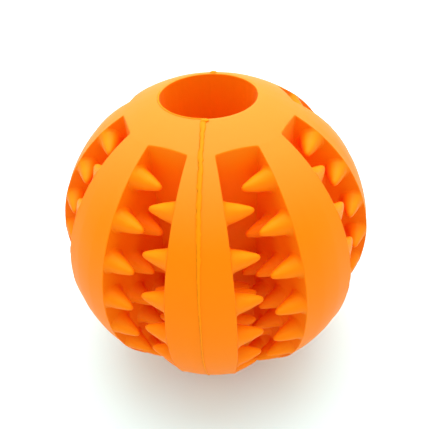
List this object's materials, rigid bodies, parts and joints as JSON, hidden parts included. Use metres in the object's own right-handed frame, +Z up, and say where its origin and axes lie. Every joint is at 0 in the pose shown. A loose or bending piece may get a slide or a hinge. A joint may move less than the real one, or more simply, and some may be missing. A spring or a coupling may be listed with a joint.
{
  "type": "treat dispensing ball",
  "caption": "Round rubber chew ball with a treat bore through its core, upright ribs and deep channels lined with staggered rows of blunt chewing teeth.",
  "frame": {"origin": "the ball's centre, half way along the treat bore's axis", "axes": "+Z up along the treat bore, -Y towards the front seam rib, X = 0 is the plane where the two halves of the mould met"},
  "size_m": [0.07, 0.0704, 0.0673],
  "materials": {
    "natural_rubber": "satin moulded natural rubber, orange"
  },
  "bodies": {
    "root": {"treat_tube": "natural_rubber", "top_mouth_cap": "natural_rubber", "bottom_mouth_cap": "natural_rubber", "front_rib": "natural_rubber", "front_right_rib": "natural_rubber", "right_rib": "natural_rubber", "rear_right_rib": "natural_rubber", "rear_rib": "natural_rubber", "rear_left_rib": "natural_rubber", "left_rib": "natural_rubber", "front_left_rib": "natural_rubber", "channel_1_short_tooth_row": "natural_rubber", "channel_1_long_tooth_row": "natural_rubber", "channel_2_short_tooth_row": "natural_rubber", "channel_2_long_tooth_row": "natural_rubber", "channel_3_short_tooth_row": "natural_rubber", "channel_3_long_tooth_row": "natural_rubber", "channel_4_short_tooth_row": "natural_rubber", "channel_4_long_tooth_row": "natural_rubber", "channel_5_short_tooth_row": "natural_rubber", "channel_5_long_tooth_row": "natural_rubber", "channel_6_short_tooth_row": "natural_rubber", "channel_6_long_tooth_row": "natural_rubber", "channel_7_short_tooth_row": "natural_rubber", "channel_7_long_tooth_row": "natural_rubber", "channel_8_short_tooth_row": "natural_rubber", "channel_8_long_tooth_row": "natural_rubber", "front_parting_bead": "natural_rubber", "rear_parting_bead": "natural_rubber", "mouth_flash_nubs": "natural_rubber"}
  },
  "joints": []
}
